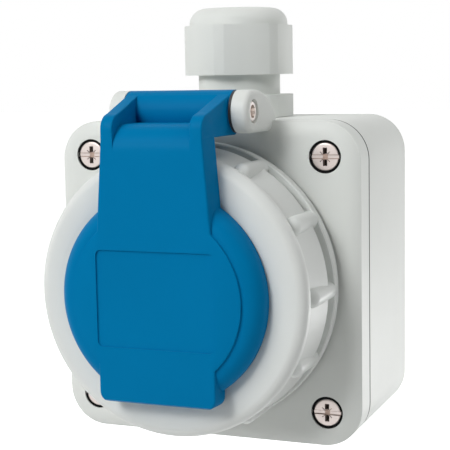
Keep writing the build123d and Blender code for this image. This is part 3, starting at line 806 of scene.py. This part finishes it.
def drive_cutters():
    """Cutters for the slot, the deep uprights, the slot's edges, the middle and the fine marks."""
    cutters = [drive_cutter("slot", rectangle(SLOT_LENGTH, SLOT_WIDTH), SLOT_DEEP)]
    for z in (-UPRIGHT_PLACE, UPRIGHT_PLACE):
        upright = rectangle(UPRIGHT_WIDTH, UPRIGHT_HEIGHT, 0, z)
        cutters.append(drive_cutter("upright", upright, UPRIGHT_DEEP))
    for z in (-SLOT_EDGE_PLACE, SLOT_EDGE_PLACE):
        edge = rectangle(SLOT_LENGTH, SLOT_EDGE, 0, z)
        cutters.append(drive_cutter("edge", edge, SLOT_EDGE_DEEP))
    middle = rounded(rectangle(MIDDLE_WIDTH, MIDDLE_HEIGHT), MIDDLE_ROUND, 3)
    cutters.append(drive_cutter("middle", middle, MIDDLE_DEEP))
    for angle in (45, 135):
        mark = turned(rectangle(MARK_LENGTH, MARK_WIDTH), angle)
        cutters.append(drive_cutter("mark", mark, MARK_DEEP))
    return cutters


def screw_outline():
    outline = [(0, SCREW_TIP), (SHANK / 2, SCREW_TIP), (SHANK, SCREW_TIP + SHANK_POINT)]
    outline += [(SHANK, SCREW_NECK), (SCREW_HEAD, SCREW_NECK)]
    for a in reversed(quarter_turns(4)):
        radius = SCREW_HEAD - HEAD_EDGE * (1 - math.sin(a))
        outline.append((radius, SCREW_TOP - HEAD_EDGE * (1 - math.cos(a))))
    return outline + [(0, SCREW_TOP)]


def paint_drive_shade(screws):
    """Paints shade into the drive: faces deeper than the first depth get a darker metal, and those deeper
    than the second a near-black one.
    """
    screws.data.materials.append(metal("screw drive painted shade", srgb(168, 146, 134), 0.5, metallic=0.5))
    screws.data.materials.append(metal("screw recess painted shade", srgb(52, 44, 40), 0.6))
    for face in screws.data.polygons:
        depth = -face.center.y / MM
        x, z = face.center.x / MM, face.center.z / MM
        off_axis = min(math.hypot(x - screw_x, z - screw_z) for screw_x, screw_z in screw_places())
        if SCREW_NECK < depth < SCREW_TOP - PAINTED_SHADE_DEEP and off_axis < SCREW_HEAD - DRIVE_MARGIN:
            face.material_index = 2 if depth < SCREW_TOP - PAINTED_DARK_DEEP else 1


def make_screws():
    screws = four_copies(cut(lathe("screw", screw_outline(), steps=SMALL_STEPS), drive_cutters()))
    finish_piece(screws, "housing", "screw_steel", "cover_screws")
    paint_drive_shade(screws)


def make_seals():
    low = SCREW_NECK - SEAL_FLOOR
    outline = [(SEAL_BORE, low), (SEAL, low), (SEAL, SEAL_LIP - SEAL_EDGE), (SEAL - SEAL_EDGE, SEAL_LIP)]
    outline += [(SCREW_HEAD, SEAL_LIP), (SCREW_HEAD, SCREW_NECK), (SEAL_BORE, SCREW_NECK)]
    notch = slab("notch", rectangle(NOTCH_LENGTH, SLOT_WIDTH), DEPTH - NOTCH_DEEP, DEPTH + PAST)
    seals = four_copies(cut(lathe("seal", outline, steps=SMALL_STEPS), [notch]))
    finish_piece(seals, "housing", "black_rubber", "cover_screw_seals")


# Hinge pin


def pin_outline():
    """The pin's section, with a hollow head at each end."""
    bottom = PIN_END - HOLLOW_DEEP
    half = [(PIN, RECESS_FLOOR), (PIN_HEAD, RECESS_FLOOR), (PIN_HEAD, PIN_END - PIN_EDGE)]
    half += [(PIN_HEAD - PIN_EDGE, PIN_END), (HOLLOW_RIM, PIN_END), (HOLLOW_FLOOR, bottom)]
    return [(0, -bottom)] + [(r, -x) for r, x in reversed(half)] + half + [(0, bottom)]


def lay_on_hinge(pin):
    """Turns the pin from the socket axis to the hinge's axis."""
    for vertex in pin.data.vertices:
        across, along, up = vertex.co.x, -vertex.co.y, vertex.co.z
        vertex.co = Vector((along, across - HINGE_DEPTH * MM, up + HINGE_HEIGHT * MM))


# Painted shade: the faces inside the hollow at each end of the pin get a darker metal.
def paint_hollow_shade(pin):
    pin.data.materials.append(metal("pin hollow painted shade", srgb(170, 158, 150), 0.25))
    for face in pin.data.polygons:
        off_axis = math.hypot(face.center.y / MM + HINGE_DEPTH, face.center.z / MM - HINGE_HEIGHT)
        if off_axis < HOLLOW_RIM - HOLLOW_MARGIN and abs(face.center.x) < (PIN_END - END_MARGIN) * MM:
            face.material_index = 1


def make_pin():
    pin = lathe("pin", pin_outline(), steps=SMALL_STEPS)
    lay_on_hinge(pin)
    finish_piece(pin, "housing", "pin_steel", "hinge_pin")
    paint_hollow_shade(pin)


# Lid


def make_disc():
    """The lid's round plate: a raised flat face, a rounded rim and a short skirt."""
    step = LID_FRONT - FACE_STEP
    rim_front = LID_FRONT - RIM_DROP
    under = LID_FRONT - LID_WALL
    outline = [(0, LID_FRONT), (FACE_RADIUS - LID_EDGE, LID_FRONT)]
    outline += [(FACE_RADIUS - LID_EDGE_BOW, LID_FRONT - LID_EDGE_BOW), (FACE_RADIUS, LID_FRONT - LID_EDGE)]
    outline.append((FACE_RADIUS, step))
    across = LID_RADIUS - FACE_RADIUS
    down = step - rim_front
    for a in quarter_turns(14)[1:]:
        outline.append((FACE_RADIUS + across * math.sin(a), rim_front + down * math.cos(a)))
    outline += [(LID_RADIUS, LID_BACK + LID_EDGE), (LID_RADIUS - LID_EDGE, LID_BACK)]
    outline += [(LID_BORE, LID_BACK), (LID_BORE, rim_front), (FACE_RADIUS, under), (0, under)]
    return lathe("disc", outline)


def strap_points(inset, top):
    """Front view of the strap, from the foot of the tab to the given height."""
    sides = [(STRAP_LOW_HALF, inset - TAB_HEIGHT), (STRAP_LOW_HALF, -TAB_HEIGHT / 2)]
    sides += [(STRAP_MIDDLE_HALF, STRAP_MIDDLE), (STRAP_TOP_HALF, top)]
    right = [(x - inset, z) for x, z in sides]
    return right + [(-x, z) for x, z in reversed(right)]


def tab_zone(name, back, front):
    """A broad block from halfway between the axis and the tab's foot to well below the foot."""
    return slab(name, rectangle(3 * LID_RADIUS, TAB_HEIGHT, 0, -TAB_HEIGHT), back, front)


def strap_hollow():
    """The hollow behind the strap, which leaves the tab solid."""
    back = STRAP_BACK - 2 * PAST
    hollow = slab("hollow", strap_points(STRAP_WALL, STRAP_TOP + PAST), back, LID_FRONT - LID_WALL)
    return cut(hollow, [tab_zone("keep", back - PAST, LID_FRONT + PAST)])


def tab_bevel():
    """Cutter for the bevel on the tab's lower front edge."""
    foot = -TAB_HEIGHT
    front = LID_FRONT + BEVEL_PAST
    side = [(front, foot - BEVEL_PAST), (front, foot + BEVEL_RISE)]
    side.append((LID_FRONT - BEVEL_RUN, foot - BEVEL_DROP))
    return slab("bevel", side, -LID_RADIUS, LID_RADIUS, side_place)


def make_strap():
    """The strap over the lid's face: drafted sides, soft front edges and a hollow back."""
    outline = rounded(strap_points(0, STRAP_TOP), [TAB_ROUND, 0, 0, 0, 0, 0, 0, TAB_ROUND])
    strap = slab("strap", outline, STRAP_BACK, LID_FRONT, round_high=STRAP_EDGE, draft=STRAP_DRAFT)
    below = tab_zone("below", STRAP_BACK - PAST, LID_FRONT - TAB_THICK)
    back = STRAP_BACK - 2 * PAST
    inside = cylinder("inside", LID_BORE, back, LID_FRONT - LID_WALL, steps=FINE_STEPS)
    return cut(strap, [below, strap_hollow(), inside, between_ribs(), tab_bevel()])


def flare(obj):
    """Narrows the arm from the barrel's width to the strap's along its reach."""
    for vertex in obj.data.vertices:
        along = (-vertex.co.y / MM - HINGE_DEPTH) / (LID_FRONT - HINGE_DEPTH)
        along = min(1.0, max(0.0, along))
        vertex.co.x -= math.copysign(ARM_FLARE * along * MM, vertex.co.x)
    return obj


def between_ribs():
    """The open wedge between the ribs, above the strap's flat front."""
    front = LID_FRONT + PAST
    top = NOSE_FOOT + WEDGE_HEIGHT
    side = [(HINGE_DEPTH, NOSE_FOOT), (front, NOSE_FOOT), (front, top), (HINGE_DEPTH, top)]
    return flare(slab("wedge", side, -ARM_INNER, ARM_INNER, side_place))


def rib_outline():
    """Side view of a rib, from the hinge barrel over its shoulder down to the strap."""
    points = [(HINGE_DEPTH, HINGE_HEIGHT + BARREL), (LID_FRONT - SHOULDER_RUN, SHOULDER)]
    points += [(LID_FRONT, SHOULDER - SHOULDER_DROP), (LID_FRONT, RIB_FOOT), (STRAP_BACK, RIB_FOOT)]
    points += [(STRAP_BACK, ARM_UNDER), (HINGE_DEPTH, ARM_UNDER)]
    side = rounded(points, [0, SHOULDER_BEND, SHOULDER_ROUND, 0, 0, 0, 0], 8)
    return side + arc(HINGE_DEPTH, HINGE_HEIGHT, BARREL, 270, 90, 24)[1:-1]


def nose_outline():
    """Side view of the ledge behind the barrel and the round nose at the strap's top."""
    centre = LID_FRONT - NOSE
    outline = arc(centre, NOSE_FOOT, NOSE, 0, 90, 14)
    outline += [(HINGE_DEPTH, LEDGE), (HINGE_DEPTH, LEDGE - LID_WALL)]
    return outline + arc(centre, NOSE_FOOT, NOSE - LID_WALL, 90, 0, 10)


def make_arm():
    parts = []
    for side in (-1, 1):
        low, high = on_side(side, ARM_INNER, BARREL_HALF)
        rib = slab("rib", rib_outline(), low, high, side_place, round_low=RIB_EDGE, round_high=RIB_EDGE)
        parts.append(flare(rib))
    nose = slab("nose", nose_outline(), -ARM_INNER - PAST, ARM_INNER + PAST, side_place)
    parts.append(flare(nose))
    return combine(hinge_cylinder("barrel", BARREL, -BARREL_HALF, BARREL_HALF, FINE_STEPS), parts)


def make_hub():
    """The round wall behind the lid's face that carries the retainer."""
    front = LID_FRONT - PAST
    return lathe("hub", [(HUB_IN, HUB_BACK), (HUB_OUT, HUB_BACK), (HUB_OUT, front), (HUB_IN, front)])


def label_cutter():
    outline = rounded(rectangle(LABEL_WIDTH, LABEL_HEIGHT, 0, LABEL_RISE), LABEL_ROUND)
    return slab("label", outline, LID_FRONT - LABEL_DEEP, LID_FRONT + PAST, round_low=LABEL_EDGE)


def make_shade_disc():
    """A thin black disc between the arm's right side and its lug: painted shade that darkens the gap there.
    """
    shade_disc = hinge_cylinder("shade_disc", SHADE_DISC, SHADE_DISC_IN, SHADE_DISC_OUT, FINE_STEPS)
    return cut(shade_disc, [hinge_cylinder("hole", SHADE_DISC_BORE, SHADE_DISC_IN - PAST, SHADE_DISC_OUT + PAST)])


def add_part(piece, part, material):
    """Joins another solid into a finished piece, in its own material."""
    piece.data.materials.append(material)
    bm = bmesh.new()
    bm.from_mesh(piece.data)
    before = len(bm.faces)
    bm.from_mesh(part.data)
    bm.faces.ensure_lookup_table()
    for face in bm.faces[before:]:
        face.material_index = 1
    bm.to_mesh(piece.data)
    bm.free()
    bpy.data.objects.remove(part, do_unlink=True)


def make_lid():
    """The lid, a little to the left within its play between the lugs."""
    lid = combine(make_disc(), [make_strap(), make_arm(), make_hub()])
    reach = BARREL_HALF + PAST
    cut(lid, [label_cutter(), hinge_cylinder("pin", PIN + LID_PIN_FIT, -reach, reach)])
    for vertex in lid.data.vertices:
        vertex.co.x -= LID_PLAY * MM
    finish_piece(lid, "lid", "lid_plastic", "lid")
    # The black disc is painted shade in the gap between the arm and its lug.
    add_part(lid, make_shade_disc(), MATERIALS["carrier_plastic"])


# Bayonet ring


def ring_outline():
    """The ring's section: ridge, conical band, groove, flange, bore and the seat round the lid."""
    valley = -math.degrees(math.acos((BAND_FRONT - RIDGE_RADIUS) / RIDGE_ROUND))
    outline = arc(RIDGE_RADIUS, RIDGE_DEPTH, RIDGE_ROUND, 90, valley, 28)
    outline += [(BAND_BACK, BAND_END + RING_EDGE), (BAND_BACK - BAND_EDGE, BAND_END)]
    outline += [(GROOVE, BAND_END), (GROOVE, FLANGE_FRONT)]
    outline += [(FLANGE - RING_EDGE, FLANGE_FRONT), (FLANGE, FLANGE_FRONT - RING_EDGE)]
    outline += [(FLANGE, RING_BACK + RING_EDGE), (FLANGE - RING_EDGE, RING_BACK)]
    outline += [(RING_INNER, RING_BACK), (RING_INNER, RING_WALL_BACK - RING_INNER_BEVEL)]
    outline += [(RING_INNER - RING_INNER_BEVEL, RING_WALL_BACK), (RING_BORE, RING_WALL_BACK)]
    outline += [(RING_BORE, RING_SEAT), (RING_SEAT_RADIUS, RING_SEAT), (RING_FACE_INNER, RING_FACE)]
    return outline


def make_grip(angle):
    """One bullet-shaped grip rib, running back from its round tip to the flange."""
    stations = [(GRIP_ROOT, GRIP_HALF)]
    for a in quarter_turns(8)[:-1]:
        stations.append((GRIP_TIP - GRIP_HALF * (1 - math.sin(a)), GRIP_HALF * math.cos(a)))
    bm = bmesh.new()
    loops = []
    for depth, radius in stations:
        section = turned(circle(GRIP - GRIP_HALF, 0, radius, GRIP_STEPS), angle)
        loops.append([bm.verts.new(front_place(x, z, depth)) for x, z in section])
    close_loops(bm, loops)
    return make_object("grip", bm)


def make_ring_lugs():
    lugs = []
    for angle in (LOCK_ANGLE, LOCK_ANGLE + 180):
        lug = bayonet_block("lug", angle, LOCK_IN, LOCK_OUT, LOCK_BACK, LOCK_FRONT, LOCK_EDGE, LOCK_EDGE)
        lugs.append(lug)
    return lugs


def make_ring():
    grips = [make_grip(360 / GRIP_COUNT * index) for index in range(GRIP_COUNT)]
    ring = combine(lathe("ring", ring_outline(), steps=RING_STEPS), grips + make_ring_lugs())
    finish_piece(ring, "ring", "ring_plastic", "bayonet_ring", 28)


# Cable gland


def hexagon(half_flats):
    corner = half_flats / math.cos(math.radians(30))
    turns = [math.radians(a) for a in range(30, 390, 60)]
    return [(corner * math.cos(a), corner * math.sin(a)) for a in turns]


def hex_block(name, low, high):
    """A hexagon whose corners are turned off."""
    block = slab(name, hexagon(HEX_HALF), low, high, plan_place)
    start, end = low - PAST, high + PAST
    outline = [(0, start), (HEX_CORNER, start), (HEX_CORNER, end), (0, end)]
    return combine(block, [lathe("turn", outline, plan_place)], "INTERSECT")


def make_dome():
    low = NUT_BOTTOM + PAST
    side_top = GLAND_TOP - DOME_ROUND
    outline = [(0, low), (DOME, low)]
    outline += arc(DOME - DOME_ROUND, side_top, DOME_ROUND, 0, 90, 14) + [(0, GLAND_TOP)]
    return lathe("dome", outline, plan_place)


def nut_bore():
    """The nut's inside, which clears the neck and the claws, and its chamfered mouth."""
    low = NUT_BOTTOM - PAST
    high = GLAND_TOP + MOUTH_PAST
    outline = [(0, low), (NECK + NUT_FIT, low), (NECK + NUT_FIT, NECK_TOP + NUT_FIT)]
    outline += [(CLAW_ROOT + NUT_FIT, NECK_TOP + NUT_FIT), (CLAW_TIP + NUT_FIT, CLAW_TOP + NUT_FIT)]
    outline += [(MOUTH, CLAW_TOP + NUT_FIT), (MOUTH, GLAND_TOP - MOUTH_CHAMFER)]
    outline += [(MOUTH + MOUTH_CHAMFER + MOUTH_PAST, high), (0, high)]
    return lathe("bore", outline, plan_place)


def make_gland_nut():
    nut = combine(hex_block("nut", NUT_BOTTOM, NUT_TOP), [make_dome()])
    cut(nut, [nut_bore()])
    finish_piece(nut, "housing", "gland_plastic", "gland_nut")


def gland_core():
    """The gland's turned core: the shank in the box, the neck and the claws."""
    neck_start = WASHER_TOP + PAST
    outline = [(0, GLAND_END), (GLAND_SHANK, GLAND_END), (GLAND_SHANK, neck_start), (NECK, neck_start)]
    outline += [(NECK, NECK_TOP), (CLAW_ROOT, NECK_TOP), (CLAW_TIP, CLAW_TOP), (0, CLAW_TOP)]
    return lathe("core", outline, plan_place)


def make_gland_body():
    body = hex_block("gland", HEX_BOTTOM, NECK_BOTTOM)
    seat = WASHER + WASHER_FIT
    cut(body, [cylinder("seat", seat, BOX_TOP - PAST, WASHER_TOP, place=plan_place, steps=FINE_STEPS)])
    combine(body, [gland_core()])
    low, high = GLAND_END - PAST, CLAW_TOP + PAST
    cut(body, [cylinder("bore", GLAND_BORE, low, high, place=plan_place, steps=FINE_STEPS)])
    finish_piece(body, "housing", "gland_plastic", "gland_body")


def make_gland_washer():
    """The gland's flat washer, which sits in the underside of its hexagon."""
    outline = [(WASHER_BORE, BOX_TOP), (WASHER, BOX_TOP), (WASHER, WASHER_TOP), (WASHER_BORE, WASHER_TOP)]
    finish_piece(lathe("washer", outline, plan_place), "housing", "gland_plastic", "gland_washer")


# Everything that keeps its solid gets its slot's material


def dress_solids():
    for part in frame["record"]["subparts"]:
        obj = frame["nodes"][part["node"]]
        material = MATERIALS[part["material_slot"]]
        if not obj.material_slots:
            obj.data.materials.append(material)
        for slot in obj.material_slots:
            slot.material = material


# Camera, lamps, world and floor


def make_camera():
    data = bpy.data.cameras.new("camera")
    data.sensor_width = CAMERA_SENSOR
    data.lens = CAMERA_LENS
    data.clip_start = CAMERA_NEAR
    yaw, pitch, roll = (math.radians(a) for a in (CAMERA_YAW, CAMERA_PITCH, CAMERA_ROLL))
    across, ahead = -math.sin(yaw) * math.cos(pitch), math.cos(yaw) * math.cos(pitch)
    forward = Vector((across, ahead, -math.sin(pitch)))
    level = Vector((math.cos(yaw), math.sin(yaw), 0))
    down = forward.cross(level)
    right = math.cos(roll) * level + math.sin(roll) * down
    under = -math.sin(roll) * level + math.cos(roll) * down
    turn = Matrix((right, -under, -forward)).transposed().to_4x4()
    camera = bpy.data.objects.new("camera", data)
    camera.matrix_world = Matrix.Translation(Vector(CAMERA_PLACE) * MM) @ turn
    bpy.context.scene.collection.objects.link(camera)
    bpy.context.scene.camera = camera


def lamp(name, azimuth, elevation, power, size, distance=LAMP_DISTANCE, target=LAMP_TARGET):
    """A square soft light. Azimuth 0 is in front of the socket, 90 is on its right."""
    turn, lift = math.radians(azimuth), math.radians(elevation)
    away = Vector((math.sin(turn) * math.cos(lift), -math.cos(turn) * math.cos(lift), math.sin(lift)))
    data = bpy.data.lights.new(name, "AREA")
    data.size = size
    data.energy = power
    obj = bpy.data.objects.new(name, data)
    obj.location = Vector(target) + away * distance
    obj.rotation_euler = away.to_track_quat("Z", "Y").to_euler()
    bpy.context.scene.collection.objects.link(obj)


def background_switch(tree):
    """1 for rays that show the background itself, 0 for rays that light the object."""
    paths = tree.nodes.new("ShaderNodeLightPath")
    shown = paths.outputs["Is Camera Ray"]
    for ray in ("Is Glossy Ray", "Is Transmission Ray"):
        either = tree.nodes.new("ShaderNodeMath")
        either.operation = "MAXIMUM"
        tree.links.new(shown, either.inputs[0])
        tree.links.new(paths.outputs[ray], either.inputs[1])
        shown = either.outputs[0]
    return shown


def make_world():
    """A white background that gives the object hardly any light."""
    world = bpy.data.worlds.new("studio")
    world.use_nodes = True
    tree = world.node_tree
    lit = tree.nodes["Background"]
    lit.inputs["Color"].default_value = WHITE
    lit.inputs["Strength"].default_value = WORLD_LIGHT
    white = tree.nodes.new("ShaderNodeBackground")
    white.inputs["Color"].default_value = WHITE
    mix = tree.nodes.new("ShaderNodeMixShader")
    tree.links.new(background_switch(tree), mix.inputs["Fac"])
    tree.links.new(lit.outputs[0], mix.inputs[1])
    tree.links.new(white.outputs[0], mix.inputs[2])
    tree.links.new(mix.outputs[0], tree.nodes["World Output"].inputs["Surface"])
    bpy.context.scene.world = world


def make_floor():
    """A pale floor far below the socket, which shows white like the background."""
    bm = bmesh.new()
    bmesh.ops.create_grid(bm, x_segments=1, y_segments=1, size=FLOOR_SIZE)
    floor = make_object("floor", bm)
    floor.location.z = FLOOR_HEIGHT
    material, tree, shader = base_material("floor", FLOOR_GREY, FLOOR_ROUGHNESS)
    glow = tree.nodes.new("ShaderNodeEmission")
    glow.inputs["Color"].default_value = WHITE
    tree.links.new(background_switch(tree), glow.inputs["Strength"])
    add = tree.nodes.new("ShaderNodeAddShader")
    tree.links.new(shader.outputs[0], add.inputs[0])
    tree.links.new(glow.outputs[0], add.inputs[1])
    tree.links.new(add.outputs[0], tree.nodes["Material Output"].inputs["Surface"])
    floor.data.materials.append(material)


def make_lamps():
    lamp("key", -15, 30, 7.3, 0.35)
    lamp("key high", -30, 54, 3.8, 0.6)
    lamp("left front", -30, 15, 1.2, 0.8)
    lamp("left", -90, 12, 2.8, 0.8)
    lamp("gland front", -25, 25, 0.45, 0.2, distance=0.45, target=GLAND_TARGET)
    lamp("right high", 95, 40, 4.4, 0.8)
    lamp("front right", 62, 62, 2.4, 0.8)
    lamp("right back", 140, 20, 2.3, 0.6)
    lamp("right side", 145, -15, 0.6, 0.15, distance=0.4, target=SIDE_TARGET)
    lamp("top back", 180, 60, 2.6, 0.8)


make_camera()
make_world()
make_floor()
make_lamps()
bpy.context.scene.view_settings.view_transform = "Standard"
dress_solids()
make_box()
make_cover()
make_seam_shade_strip()
make_screws()
make_seals()
make_pin()
make_lid()
make_ring()
make_gland_nut()
make_gland_body()
make_gland_washer()
